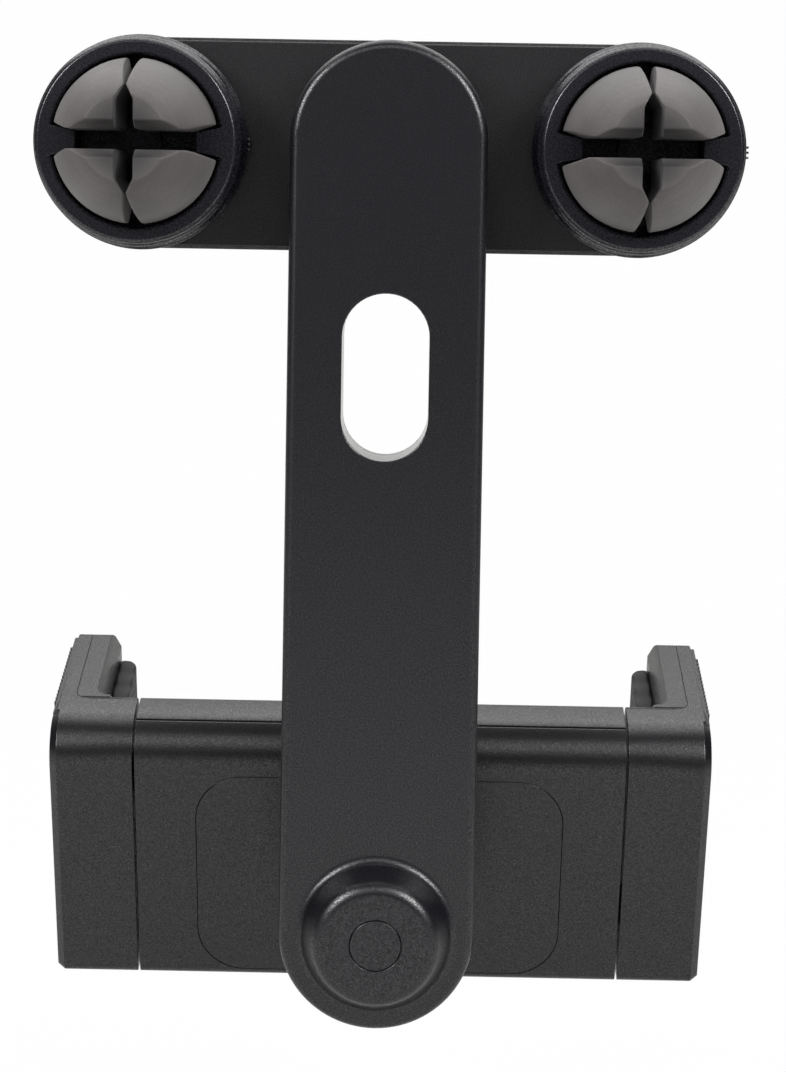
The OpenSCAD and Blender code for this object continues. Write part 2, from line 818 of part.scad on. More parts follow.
module pinion() {
    color("#d8d6d0") on_cradle() translate([0, 0, h_mid]) difference() {
        slab_y(gear_back, gear_fore) pinion_outline();
        rod_y(pin_r + turn_clear, 0, far);
    }
}

module pinion_pin() {
    color("#a8a8ac") on_cradle() translate([0, 0, h_mid]) rod_y(pin_r, gear_back - 0.1, n_front - 1.1);
}

// The right jaw's rack, under the pinion, with its teeth up; the left one is the same piece turned half round
module rack_outline() {
    slope = tan(pressure_angle);
    pitch_h = -pitch_r;
    top_h = pitch_h + 0.95 * gear_module;
    low_h = pitch_h - 1.25 * gear_module;
    half = tooth_pitch / 4 - backlash / 4;
    first = -floor(rack_end / tooth_pitch);
    for (k = [first : 1]) {
        c = (k + 0.5) * tooth_pitch;
        low_half = half + (pitch_h - low_h) * slope;
        top_half = half - (top_h - pitch_h) * slope;
        polygon([[c - low_half, low_h - cut], [c + low_half, low_h - cut],
            [c + top_half, top_h], [c - top_half, top_h]]);
    }
    translate([-rack_end, -rack_root - rack_h]) square([rack_end + rack_in_jaw, rack_h]);
}

module jaw_rack() {
    color("#2c2b2f") difference() {
        union() {
            translate([0, 0, h_mid]) slab_y(gear_back, gear_fore) rack_outline();
            translate([-rack_end, gear_n, h_mid - spring_h]) rotate([0, -90, 0])
                cylinder(h = 1.2, r = coil_d / 2 - wire_d / 2 - 0.1);
        }
        translate([jaw_screw_x, 0, h_mid - spring_h]) rod_y(pilot_r, 0, far);
    }
}

// A coil along X from x0 to x1
module coil(x0, x1) {
    sides = 6;
    steps = 12;
    total = coil_turns * steps;
    points = [for (i = [0 : total], j = [0 : sides - 1]) let(
            a = 360 * i / steps,
            b = 360 * j / sides,
            r = coil_d / 2 + wire_d / 2 * cos(b))
        [x0 + wire_d / 2 + (x1 - x0 - wire_d) * i / total + wire_d / 2 * sin(b), r * cos(a), r * sin(a)]];
    faces = concat([[for (j = [0 : sides - 1]) j]],
        [for (i = [0 : total - 1], j = [0 : sides - 1]) let(k = (j + 1) % sides)
            [i * sides + j, (i + 1) * sides + j, (i + 1) * sides + k, i * sides + k]],
        [[for (j = [sides - 1 : -1 : 0]) total * sides + j]]);
    polyhedron(points = points, faces = faces);
}

module jaw_spring() {
    color("#a8a8ac") translate([0, gear_n, h_mid - spring_h]) {
        coil(shell_wall + fixed_clear - half_housing, -rack_end);
    }
}

// Jaws, drawn on the right
module jaw_body_outline(n0, n1) {
    intersection() {
        polygon(cradle_section(0));
        translate([n0, -far / 2]) square([n1 - n0, far]);
    }
}

blade_round = 2.4;
function blade_outline(n0, n1, inset) = let(r = blade_round - inset)
    concat([[n0, inset - cradle_low]],
        arc([n1 - r, blade_round - cradle_low], r, -90, 0, 6),
        arc([n1 - r, cradle_top - blade_round], r, 0, 90, 6),
        [[n0, cradle_top - inset]]);

module jaw_cavity_outline() {
    polygon(cradle_section(shell_wall));
    translate([n_seam, shell_wall - cradle_low]) {
        square([jaw_reach, cradle_top + cradle_low - 2 * shell_wall]);
    }
}

// Where the shell's foot turns into its outer half, in X and Y, as high as the jaw and grow more
module split_corner(grow) {
    foot = n_front - foot_t;
    translate([0, 0, -cradle_low - grow]) linear_extrude(cradle_top + cradle_low + 2 * grow) {
        polygon(concat(arc([jaw_split - split_round, foot + split_round], split_round, 0, -90, 8),
            [[jaw_split - split_round, foot - 0.5], [jaw_split + 0.5, foot - 0.5],
                [jaw_split + 0.5, foot + split_round]]));
    }
}

// The rack lies low on the right jaw (side 1) and high on the left one (side -1)
module jaw_shell(side) {
    rack_mid = h_mid - side * spring_h;
    color("#323136") {
        difference() {
            union() {
                slab_x(jaw_in, jaw_out - 1) jaw_body_outline(n_back, n_front - foot_t);
                hull() {
                    slab_x(jaw_out - 1 - cut, jaw_out - 1) jaw_body_outline(n_back, n_front - foot_t);
                    slab_x(jaw_out - 0.3, jaw_out) offset(delta = -0.8) jaw_body_outline(n_back, n_front);
                }
                slab_x(jaw_split, jaw_out - 0.6) polygon(blade_outline(n_back + 6, n_tip, 0));
                slab_x(jaw_out - 0.6, jaw_out) polygon(blade_outline(n_back + 6, n_tip - 0.5, 0.5));
            }
            slab_x(jaw_in + jaw_wall, jaw_split) jaw_cavity_outline();
            translate([jaw_in - 1, gear_back - fixed_clear, rack_mid - rack_h / 2 - fixed_clear])
                cube([3, gear_t + 2 * fixed_clear, rack_h + 2 * fixed_clear]);
            translate([jaw_screw_x, 0, rack_mid]) rod_y(jaw_boss_r + fixed_clear, gear_fore, far);
        }
        split_corner(0);
        for (i = [0 : jaw_ribs - 1]) {
            rib_start = n_front - 1 + i * (jaw_reach - 4) / (jaw_ribs - 1);
            translate([jaw_out - 0.1, rib_start, rib_margin - cradle_low])
                cube([0.45, rib_w, cradle_top + cradle_low - 2 * rib_margin]);
        }
    }
}

// The liner's inner half in X and Y, its face standing in by e, with a round corner at its foot
function liner_plan(e) = let(
        x = jaw_edge - e,
        foot = n_front - foot_t / 2)
    concat([[jaw_split, foot], [jaw_split, n_tip]],
        arc([x + tip_round, n_tip - tip_round], tip_round, 90, 180, 6),
        arc([x - corner_r, n_front + corner_r], corner_r, 0, -90, 8),
        [[x - corner_r, foot]]);

// A solid through outlines of as many points, one at each height, whose first point sees all the others
module stack(outlines, heights) {
    n = len(outlines[0]);
    top = len(heights) - 1;
    polyhedron(points = [for (k = [0 : top], p = outlines[k]) [p[0], p[1], heights[k]]],
        faces = concat([[for (i = [0 : n - 1]) i]], [[for (i = [n : -1 : 1]) top * n + i % n]],
            [for (k = [0 : top - 1], i = [0 : n - 1]) let(j = (i + 1) % n)
                [k * n + i, (k + 1) * n + i, (k + 1) * n + j, k * n + j]]));
}

module jaw_liner(side) {
    edge = liner_plan(0);
    face = liner_plan(jaw_chamfer_w);
    color("#2f2e32") difference() {
        union() {
            slab_x(jaw_in, jaw_edge + 1) jaw_body_outline(n_front - foot_t, n_front);
            slab_x(jaw_edge, jaw_split) jaw_body_outline(n_front - foot_t, n_front - foot_t / 2 + cut);
            intersection() {
                slab_x(jaw_in, jaw_split) polygon(blade_outline(n_front - foot_t, n_tip, 0));
                stack([edge, face, face, edge],
                    [-cradle_low, jaw_chamfer_h - cradle_low, cradle_top - jaw_chamfer_h, cradle_top]);
            }
            translate([jaw_screw_x, 0, h_mid - side * spring_h]) {
                rod_y(jaw_boss_r, gear_fore, n_front - foot_t / 2);
            }
        }
        split_corner(1);
        translate([jaw_screw_x, 0, h_mid - side * spring_h]) {
            rod_y(screw_d / 2 + fixed_clear, 0, far);
            rod_y(jaw_head_r + fixed_clear, n_front - jaw_head_h - 0.1, far);
        }
    }
}

module jaw_pad() {
    pad_len = jaw_pad_end - jaw_pad_start;
    inner = jaw_face - jaw_pad_t;
    color("#141315") intersection() {
        slab_x(inner, jaw_face) translate([jaw_pad_start + pad_len / 2, h_mid]) {
            rounded(pad_len, cradle_top + cradle_low - 8, pad_corner);
        }
        translate([0, 0, -far / 2]) linear_extrude(far) {
            polygon(concat([[jaw_face, jaw_pad_end], [jaw_face, jaw_pad_start], [inner, jaw_pad_start]],
                arc([inner + pad_tip_round, jaw_pad_end - pad_tip_round], pad_tip_round, 180, 90, 8)));
        }
    }
}

module jaw_screw() {
    color("#8c8c90") translate([jaw_screw_x, 0, h_mid - spring_h]) {
        screw(shank_r, jaw_head_r, jaw_head_h, n_front - jaw_head_h - 0.1, gear_back + 0.2);
    }
}

module right_jaw_shell() on_cradle() jaw_shell(1);
module right_jaw_liner() on_cradle() jaw_liner(1);
module right_jaw_pad() on_cradle() jaw_pad();
module right_jaw_rack() on_cradle() jaw_rack();
module right_jaw_screw() on_cradle() jaw_screw();
module right_jaw_spring() on_cradle() jaw_spring();

// The left jaw is the mirror image, but its rack is turned half round to run over the pinion
module turned_over() {
    translate([0, 0, h_mid]) rotate([0, 180, 0]) translate([0, 0, -h_mid]) children();
}

module left_jaw_shell() on_cradle() mirror([1, 0, 0]) jaw_shell(-1);
module left_jaw_liner() on_cradle() mirror([1, 0, 0]) jaw_liner(-1);
module left_jaw_pad() on_cradle() mirror([1, 0, 0]) jaw_pad();
module left_jaw_rack() on_cradle() turned_over() jaw_rack();
module left_jaw_screw() on_cradle() turned_over() jaw_screw();
module left_jaw_spring() on_cradle() turned_over() jaw_spring();

bar_housing();
bar_cover();
bar_cover_screws();
arm_bar_screws();
left_clip_collar();
left_clip_core();
left_clip_boots();
left_clip_washer();
left_clip_screw();
right_clip_collar();
right_clip_core();
right_clip_boots();
right_clip_washer();
right_clip_screw();
arm_shell();
arm_cover();
arm_cover_screws();
dome_plug();
socket_spring();
socket_ring();
friction_cup();
ball_liner();
ball_stud();
stud_screw();
joint_panel();
rear_shell();
front_shell();
shell_screws();
front_pad();
pinion_pin();
pinion();
left_jaw_shell();
left_jaw_liner();
left_jaw_pad();
left_jaw_rack();
left_jaw_screw();
left_jaw_spring();
right_jaw_shell();
right_jaw_liner();
right_jaw_pad();
right_jaw_rack();
right_jaw_screw();
right_jaw_spring();
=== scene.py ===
import json
import math

import bmesh
import bpy
from bpy.props import FloatProperty, FloatVectorProperty, PointerProperty
from bpy.types import Operator, Panel, PropertyGroup
from mathutils import Matrix, Vector
from mathutils.geometry import tessellate_polygon


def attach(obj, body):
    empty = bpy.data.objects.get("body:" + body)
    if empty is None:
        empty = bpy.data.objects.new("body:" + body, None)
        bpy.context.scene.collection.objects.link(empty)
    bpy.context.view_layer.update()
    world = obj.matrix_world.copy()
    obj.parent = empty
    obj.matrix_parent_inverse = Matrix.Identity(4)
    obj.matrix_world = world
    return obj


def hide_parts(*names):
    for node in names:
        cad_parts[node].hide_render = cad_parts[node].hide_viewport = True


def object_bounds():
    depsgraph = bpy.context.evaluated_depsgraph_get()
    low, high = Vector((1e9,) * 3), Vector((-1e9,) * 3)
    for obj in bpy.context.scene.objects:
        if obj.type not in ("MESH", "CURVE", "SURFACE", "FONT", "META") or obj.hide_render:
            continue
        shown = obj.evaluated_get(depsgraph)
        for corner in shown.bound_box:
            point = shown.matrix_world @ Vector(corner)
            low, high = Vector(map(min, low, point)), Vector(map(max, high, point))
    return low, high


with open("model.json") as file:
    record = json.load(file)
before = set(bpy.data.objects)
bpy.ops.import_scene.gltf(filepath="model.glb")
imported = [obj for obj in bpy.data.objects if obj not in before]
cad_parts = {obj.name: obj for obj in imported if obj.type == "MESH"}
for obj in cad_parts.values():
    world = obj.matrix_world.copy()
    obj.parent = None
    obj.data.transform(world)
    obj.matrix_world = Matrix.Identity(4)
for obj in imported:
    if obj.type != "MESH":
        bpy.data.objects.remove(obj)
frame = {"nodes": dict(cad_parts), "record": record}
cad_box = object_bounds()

bl_info = {
    "name": "Vent phone holder dresser",
    "version": (1, 0, 0),
    "blender": (4, 5, 0),
    "location": "3D View > Sidebar > Phone holder",
    "description": "Dresses the packed parts of an air vent phone holder in plastic, rubber and steel",
    "category": "Object",
}

MM = 0.001
CRADLE_LEAN = math.radians(16)
# The arm's slot in millimetres: the radius of its ends, the middle of its upper end and its straight run
SLOT_RADIUS, SLOT_TOP, SLOT_RUN = 5.5, -23.9, 10.1
CLIP_SPACING = 63.5

slot_of = {part["node"]: part["material_slot"] for part in frame["record"]["subparts"]}
made_finishes = {}


# Shared helpers

def linear(hex_colour):
    """sRGB hex to the linear values that the shaders take."""
    parts = [int(hex_colour[i:i + 2], 16) / 255 for i in (1, 3, 5)]
    return tuple(c / 12.92 if c <= 0.04045 else ((c + 0.055) / 1.055) ** 2.4 for c in parts) + (1.0,)


def add(tree, kind, settings=None, values=None, links=None):
    """Adds one node: settings are its own attributes, values its sockets' defaults, links its inputs."""
    made = tree.nodes.new(kind)
    for name, value in (settings or {}).items():
        setattr(made, name, value)
    for name, value in (values or {}).items():
        made.inputs[name].default_value = value
    for name, socket in (links or {}).items():
        tree.links.new(socket, made.inputs[name])
    return made


def new_material(name):
    """An empty node material."""
    material = bpy.data.materials.new(name)
    material.use_nodes = True
    material.node_tree.nodes.clear()
    return material, material.node_tree


def mesh_object(name, vertices, faces, material, smooth_angle):
    """A new mesh object in metres from points in millimetres. smooth_angle is in degrees."""
    data = bpy.data.meshes.new(name)
    data.from_pydata([Vector(v) * MM for v in vertices], [], faces)
    data.validate()
    data.polygons.foreach_set("use_smooth", [True] * len(data.polygons))
    data.set_sharp_from_angle(angle=math.radians(smooth_angle))
    data.materials.append(material)
    made = bpy.data.objects.new(name, data)
    bpy.context.scene.collection.objects.link(made)
    return made


def soften(node, width, segments=2, join=0.002, flatten=True):
    """Joins a CAD node's faces again, with points nearer than join, and rounds its sharp edges by width.
    Both are in millimetres. flatten makes one face of each flat side first."""
    made = frame["nodes"][node]
    weld = made.modifiers.new("weld", "WELD")
    weld.merge_threshold = join * MM
    if flatten:
        flats = made.modifiers.new("flats", "DECIMATE")
        flats.decimate_type = "DISSOLVE"
        flats.angle_limit = math.radians(0.3)
    bevel = made.modifiers.new("edges", "BEVEL")
    bevel.width = width * MM
    bevel.segments = segments
    bevel.limit_method = "ANGLE"
    bevel.angle_limit = math.radians(28)
    bevel.use_clamp_overlap = False
    bevel.harden_normals = False
    bevel.miter_outer = "MITER_ARC"
    made.data.polygons.foreach_set("use_smooth", [True] * len(made.data.polygons))
    made.data.update()
    normals = made.modifiers.new("normals", "WEIGHTED_NORMAL")
    normals.keep_sharp = True
    normals.weight = 60


# Screws with a cross recess

def screw_spots(node, lean):
    """The screws of a CAD node: their middle across, their two ends and their head's radius in millimetres.
    lean turns the node's screws upright first."""
    upright = Matrix.Rotation(-lean, 3, "X")
    one_screw = 4.5
    groups = []
    for vertex in frame["nodes"][node].data.vertices:
        point = upright @ vertex.co / MM
        for group in groups:
            if math.hypot(point.x - group[0].x, point.z - group[0].z) < one_screw:
                group.append(point)
                break
        else:
            groups.append([point])
    spots = []
    for group in groups:
        across = [(min(p[i] for p in group), max(p[i] for p in group)) for i in (0, 1, 2)]
        middle = (sum(across[0]) / 2, sum(across[2]) / 2)
        spots.append((middle, across[1], (across[0][1] - across[0][0]) / 2))
    return spots


def cross_screws(name, node, body, head_height, lean=0.0):
    """Screws with rounded heads and a cross recess in place of a CAD node's plain ones.
    Sizes are in millimetres. lean is how far the node's screws lean, in radians."""
    shank, point_height, point_radius = 0.82, 0.6, 0.2
    crown, crown_low, rim_low = 0.3, 0.06, 0.25
    recess_depth, recess_taper = 0.62, 0.72
    sides, corners = 40, 12
    vertices, faces = [], []
    for number, ((x, z), (low, high), radius) in enumerate(screw_spots(node, lean)):
        start = len(vertices)
        profile = [(radius - crown, high), (radius - 0.1, high - crown_low), (radius, high - rim_low),
                   (radius, high - head_height), (shank, high - head_height), (shank, low + point_height),
                   (point_radius, low)]
        rings = []
        for r, y in profile:
            rings.append(len(vertices))
            for k in range(sides):
                turn = 2 * math.pi * k / sides
                vertices.append((x + r * math.cos(turn), y, z + r * math.sin(turn)))
        for first, second in zip(rings, rings[1:]):
            for k in range(sides):
                after = (k + 1) % sides
                faces.append((first + k, second + k, second + after, first + after))
        faces.append(tuple(rings[-1] + k for k in range(sides)))

        wide, reach, spin = 0.16 * radius, 0.6 * radius, 0.65 * number + 0.3
        cross = [(wide, reach), (wide, wide), (reach, wide), (reach, -wide), (wide, -wide), (wide, -reach),
                 (-wide, -reach), (-wide, -wide), (-reach, -wide), (-reach, wide), (-wide, wide),
                 (-wide, reach)]
        turned = [(a * math.cos(spin) - b * math.sin(spin), a * math.sin(spin) + b * math.cos(spin))
                  for a, b in cross]
        mouth = len(vertices)
        bottom = mouth + corners
        vertices += [(x + a, high, z + b) for a, b in turned]
        vertices += [(x + recess_taper * a, high - recess_depth, z + recess_taper * b) for a, b in turned]
        for k in range(corners):
            after = (k + 1) % corners
            faces.append((mouth + k, mouth + after, bottom + after, bottom + k))
        for quarter in ((0, 1, 10, 11), (1, 2, 3, 4), (4, 5, 6, 7), (7, 8, 9, 10), (1, 4, 7, 10)):
            faces.append(tuple(bottom + k for k in quarter))
        rim = [Vector((vertices[start + k][0], vertices[start + k][2], 0)) for k in range(sides)]
        hole = [Vector((vertices[mouth + k][0], vertices[mouth + k][2], 0)) for k in range(corners)]
        for corner in tessellate_polygon([rim, hole]):
            faces.append(tuple(start + k if k < sides else mouth + k - sides for k in corner))
    tilt = Matrix.Rotation(lean, 3, "X")
    made = mesh_object(name, [tilt @ Vector(v) for v in vertices], faces, finish_for("blackened_steel"), 35)
    outward = bmesh.new()
    outward.from_mesh(made.data)
    bmesh.ops.recalc_face_normals(outward, faces=outward.faces)
    outward.to_mesh(made.data)
    outward.free()
    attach(made, body)
    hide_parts(node)


# Finishes

def spread(colour, amount):
    """A darker and a lighter version of a colour, for a mix between them."""
    return {"A": tuple(c * (1 - amount) for c in colour[:3]) + (1,),
            "B": tuple(min(c * (1 + amount), 1) for c in colour[:3]) + (1,)}


def spark_eroded_abs(name, colour, roughness, grain_mm, grain_depth_mm, polished=None):
    """Injection-moulded plastic from a spark-eroded mould: a fine even grain that breaks up its soft shine,
    with pits that throw back less light than the skin between them.
    polished may add nodes that say how much smoother the mould was left."""
    material, tree = new_material(name)
    place = add(tree, "ShaderNodeTexCoord")
    grain = add(tree, "ShaderNodeTexNoise",
                values={"Scale": 1 / (grain_mm * MM), "Detail": 3.0, "Roughness": 0.7},
                links={"Vector": place.outputs["Object"]})
    pits = add(tree, "ShaderNodeMapRange", values={"From Min": 0.36, "From Max": 0.64},
               links={"Value": grain.outputs["Fac"]})
    flow = add(tree, "ShaderNodeTexNoise", values={"Scale": 1 / (16 * MM), "Detail": 3.0},
               links={"Vector": place.outputs["Object"]})
    tint = add(tree, "ShaderNodeMix", {"data_type": "RGBA"}, spread(colour, 0.10),
               {"Factor": flow.outputs["Fac"]})
    dots = add(tree, "ShaderNodeMix", {"data_type": "RGBA"}, spread((0.60, 0.60, 0.64), 0.65),
               {"Factor": pits.outputs["Result"]})
    speckle = add(tree, "ShaderNodeMix", {"data_type": "RGBA", "blend_type": "MULTIPLY"},
                  {"Factor": 1.0}, {"A": tint.outputs["Result"], "B": dots.outputs["Result"]})
    shine = add(tree, "ShaderNodeMapRange", values={"To Min": roughness + 0.07, "To Max": roughness - 0.05},
                links={"Value": pits.outputs["Result"]})
    glint = add(tree, "ShaderNodeMapRange", values={"To Min": 0.3, "To Max": 0.7},
                links={"Value": pits.outputs["Result"]})
    relief = add(tree, "ShaderNodeBump", values={"Strength": 0.7, "Distance": grain_depth_mm * MM},
                 links={"Height": grain.outputs["Fac"]})
    gloss = shine.outputs["Result"]
    if polished:
        smooth = add(tree, "ShaderNodeMath", {"operation": "MULTIPLY_ADD", "use_clamp": True}, {1: -1.0},
                     {0: polished(tree, place), 2: gloss})
        gloss = smooth.outputs[0]
    body = add(tree, "ShaderNodeBsdfPrincipled", values={"IOR": 1.52, "Metallic": 0.0},
               links={"Base Color": speckle.outputs["Result"], "Roughness": gloss,
                      "Specular IOR Level": glint.outputs["Result"], "Normal": relief.outputs["Normal"]})
    add(tree, "ShaderNodeOutputMaterial", links={"Surface": body.outputs["BSDF"]})
    return material


def in_slot(tree, place):
    """0.35 on the wall of the arm's slot, whose core pin is polished, and 0 elsewhere."""
    spot = add(tree, "ShaderNodeSeparateXYZ", links={"Vector": place.outputs["Object"]})
    along = add(tree, "ShaderNodeClamp", values={"Min": (SLOT_TOP - SLOT_RUN) * MM, "Max": SLOT_TOP * MM},
                links={"Value": spot.outputs["Z"]})
    rise = add(tree, "ShaderNodeMath", {"operation": "SUBTRACT"},
               links={0: spot.outputs["Z"], 1: along.outputs[0]})
    flat = add(tree, "ShaderNodeCombineXYZ", links={"X": spot.outputs["X"], "Z": rise.outputs[0]})
    reach = add(tree, "ShaderNodeVectorMath", {"operation": "LENGTH"}, links={0: flat.outputs["Vector"]})
    inside = add(tree, "ShaderNodeMath", {"operation": "LESS_THAN"}, {1: (SLOT_RADIUS + 0.12) * MM},
                 {0: reach.outputs["Value"]})
    scaled = add(tree, "ShaderNodeMath", {"operation": "MULTIPLY"}, {1: 0.35}, {0: inside.outputs[0]})
    return scaled.outputs[0]


def on_walls(tree, place):
    """0.13 on walls that run along Y, which the mould leaves polished, and 0 on faces."""
    normal = add(tree, "ShaderNodeSeparateXYZ", links={"Vector": place.outputs["Normal"]})
    lean = add(tree, "ShaderNodeMath", {"operation": "ABSOLUTE"}, links={0: normal.outputs["Y"]})
    wall = add(tree, "ShaderNodeMath", {"operation": "LESS_THAN"}, {1: 0.3}, {0: lean.outputs[0]})
    scaled = add(tree, "ShaderNodeMath", {"operation": "MULTIPLY"}, {1: 0.13}, {0: wall.outputs[0]})
    return scaled.outputs[0]


def beside_axis(tree, place):
    """0 near a clip's axis and 1 from 7 mm out, with a soft step between them. It masks the shade painted
    into the boots' rubber near the axis.
    """
    spot = add(tree, "ShaderNodeSeparateXYZ", links={"Vector": place.outputs["Object"]})
    side = add(tree, "ShaderNodeMath", {"operation": "ABSOLUTE"}, links={0: spot.outputs["X"]})
    across = add(tree, "ShaderNodeMath", {"operation": "SUBTRACT"}, {1: CLIP_SPACING / 2 * MM},
                 {0: side.outputs[0]})
    flat = add(tree, "ShaderNodeCombineXYZ", links={"X": across.outputs[0], "Z": spot.outputs["Z"]})
    reach = add(tree, "ShaderNodeVectorMath", {"operation": "LENGTH"}, links={0: flat.outputs["Vector"]})
    step = add(tree, "ShaderNodeMapRange", {"interpolation_type": "SMOOTHSTEP"},
               {"From Min": 2.6 * MM, "From Max": 6.8 * MM}, {"Value": reach.outputs["Value"]})
    return step.outputs["Result"]


def moulded_rubber(name, colour, roughness, grain_mm, rib_mm=0.0, painted_shade=None):
    """Overmoulded thermoplastic rubber: matte, with a powdery grain and a faint bloom at the edges.
    rib_mm is the pitch of fine moulded ribs, if it has them. The last argument may add nodes that give 0
    where shade is painted into the rubber's colour and 1 where the rubber keeps its own colour."""
    material, tree = new_material(name)
    place = add(tree, "ShaderNodeTexCoord")
    grain = add(tree, "ShaderNodeTexNoise",
                values={"Scale": 1 / (grain_mm * MM), "Detail": 4.0, "Roughness": 0.65},
                links={"Vector": place.outputs["Object"]})
    bloom = add(tree, "ShaderNodeTexNoise", values={"Scale": 1 / (5 * MM), "Detail": 3.0},
                links={"Vector": place.outputs["Object"]})
    blotch = add(tree, "ShaderNodeMix", {"data_type": "FLOAT"}, {"Factor": 0.5},
                 {2: bloom.outputs["Fac"], 3: grain.outputs["Fac"]})
    wide = add(tree, "ShaderNodeMapRange", values={"From Min": 0.36, "From Max": 0.64},
               links={"Value": blotch.outputs[0]})
    tint = add(tree, "ShaderNodeMix", {"data_type": "RGBA"}, spread(colour, 0.22),
               {"Factor": wide.outputs["Result"]})
    shade = tint.outputs["Result"]
    # Painted shade: the colour darkens to a fifth towards a clip's axis. It stands in for the shade in the
    # slots and on the steep tips there.
    if painted_shade:
        dark = tuple(c * 0.2 for c in colour[:3]) + (1,)
        centre_shade = add(tree, "ShaderNodeMix", {"data_type": "RGBA"}, {"A": dark},
                      {"Factor": painted_shade(tree, place), "B": shade})
        shade = centre_shade.outputs["Result"]
    relief = add(tree, "ShaderNodeBump", values={"Strength": 0.5, "Distance": 0.05 * MM},
                 links={"Height": grain.outputs["Fac"]})
    surface = relief.outputs["Normal"]
    if rib_mm:
        # One wave of the wave texture is 0.314 long at a scale of 1
        ribs = add(tree, "ShaderNodeTexWave", {"bands_direction": "Z"}, {"Scale": 0.314 / (rib_mm * MM)},
                   {"Vector": place.outputs["Object"]})
        moulded = add(tree, "ShaderNodeBump", values={"Strength": 0.8, "Distance": 0.25 * MM},
                      links={"Height": ribs.outputs["Fac"], "Normal": surface})
        surface = moulded.outputs["Normal"]
    body = add(tree, "ShaderNodeBsdfPrincipled",
               values={"IOR": 1.5, "Roughness": roughness, "Sheen Weight": 0.08, "Sheen Roughness": 0.5},
               links={"Base Color": shade, "Normal": surface})
    add(tree, "ShaderNodeOutputMaterial", links={"Surface": body.outputs["BSDF"]})
    return material


def moulded_acetal(name, colour, roughness):
    """Moulded acetal: a milky, waxy plastic with a low shine, used where parts slide."""
    material, tree = new_material(name)
    place = add(tree, "ShaderNodeTexCoord")
    cloud = add(tree, "ShaderNodeTexNoise", values={"Scale": 1 / (3 * MM), "Detail": 3.0},
                links={"Vector": place.outputs["Object"]})
    milky = tuple(c * 0.93 for c in colour[:3]) + (1,)
    tint = add(tree, "ShaderNodeMix", {"data_type": "RGBA"}, {"A": milky, "B": colour},
               {"Factor": cloud.outputs["Fac"]})
    shine = add(tree, "ShaderNodeMapRange", values={"To Min": roughness - 0.06, "To Max": roughness + 0.06},
                links={"Value": cloud.outputs["Fac"]})
    body = add(tree, "ShaderNodeBsdfPrincipled", values={"IOR": 1.48},
               links={"Base Color": tint.outputs["Result"], "Roughness": shine.outputs["Result"]})
    add(tree, "ShaderNodeOutputMaterial", links={"Surface": body.outputs["BSDF"]})
    return material


def turned_steel(name, colour, roughness, line_mm):
    """Turned or drawn steel, plated or blackened: fine tool marks that spread its highlights."""
    material, tree = new_material(name)
    place = add(tree, "ShaderNodeTexCoord")
    marks = add(tree, "ShaderNodeTexNoise",
                values={"Scale": 1 / (line_mm * MM), "Detail": 2.0, "Distortion": 0.3},
                links={"Vector": place.outputs["Object"]})
    shine = add(tree, "ShaderNodeMapRange", values={"To Min": roughness - 0.08, "To Max": roughness + 0.1},
                links={"Value": marks.outputs["Fac"]})
    relief = add(tree, "ShaderNodeBump", values={"Strength": 0.3, "Distance": 0.01 * MM},
                 links={"Height": marks.outputs["Fac"]})
    body = add(tree, "ShaderNodeBsdfPrincipled", values={"Base Color": colour, "Metallic": 1.0},
               links={"Roughness": shine.outputs["Result"], "Normal": relief.outputs["Normal"]})
    add(tree, "ShaderNodeOutputMaterial", links={"Surface": body.outputs["BSDF"]})
    return material


# The finish of each material slot of the record, and of the screws that show
FINISHES = {
    "black_abs": lambda look: spark_eroded_abs(
        "black_moulded_abs", look.bar_colour, roughness=0.36, grain_mm=0.2, grain_depth_mm=0.04),
    "graphite_abs": lambda look: spark_eroded_abs(
        "graphite_moulded_abs", look.arm_colour, roughness=0.31, grain_mm=0.2, grain_depth_mm=0.03,
        polished=in_slot),
    "cradle_abs": lambda look: spark_eroded_abs(
        "cradle_moulded_abs", look.cradle_colour, roughness=0.30, grain_mm=0.2, grain_depth_mm=0.03),
    "clip_abs": lambda look: spark_eroded_abs(
        "clip_moulded_abs", look.clip_colour, roughness=0.27, grain_mm=0.3, grain_depth_mm=0.012,
        polished=on_walls),
    "black_nylon": lambda look: spark_eroded_abs(
        "black_moulded_nylon", look.bar_colour, roughness=0.36, grain_mm=0.4, grain_depth_mm=0.01),
    # The boots' rubber gets shade painted in towards each clip's axis
    "grey_rubber": lambda look: moulded_rubber(
        "warm_grey_rubber", look.boot_colour, roughness=0.62, grain_mm=0.35, painted_shade=beside_axis),
    "black_rubber": lambda look: moulded_rubber(
        "black_ribbed_rubber", look.pad_colour, roughness=0.72, grain_mm=0.3, rib_mm=1.2),
    "acetal": lambda look: moulded_acetal("natural_acetal", linear("#ccc9c0"), roughness=0.42),
    "blackened_steel": lambda look: turned_steel(
        "blackened_screw_steel", look.screw_colour, roughness=0.34, line_mm=0.25),
    "spring_steel": lambda look: turned_steel(
        "drawn_spring_steel", linear("#b4b4b6"), roughness=0.30, line_mm=0.20),
    "steel": lambda look: turned_steel(
        "zinc_plated_steel", look.steel_colour, roughness=0.36, line_mm=0.25),
}


def finish_for(slot):
    """The finish of a slot, made once."""
    if slot not in made_finishes:
        made_finishes[slot] = FINISHES[slot](bpy.context.scene.holder_look)
    return made_finishes[slot]


def dress(node):
    """Gives a CAD node the finish of its material slot."""
    for place in frame["nodes"][node].material_slots:
        place.material = finish_for(slot_of[node])


# Settings

def paint(name, description, hex_colour):
    """A colour property with an sRGB default."""
    return FloatVectorProperty(name=name, description=description, size=4, subtype="COLOR", min=0, max=1,
                               default=linear(hex_colour))


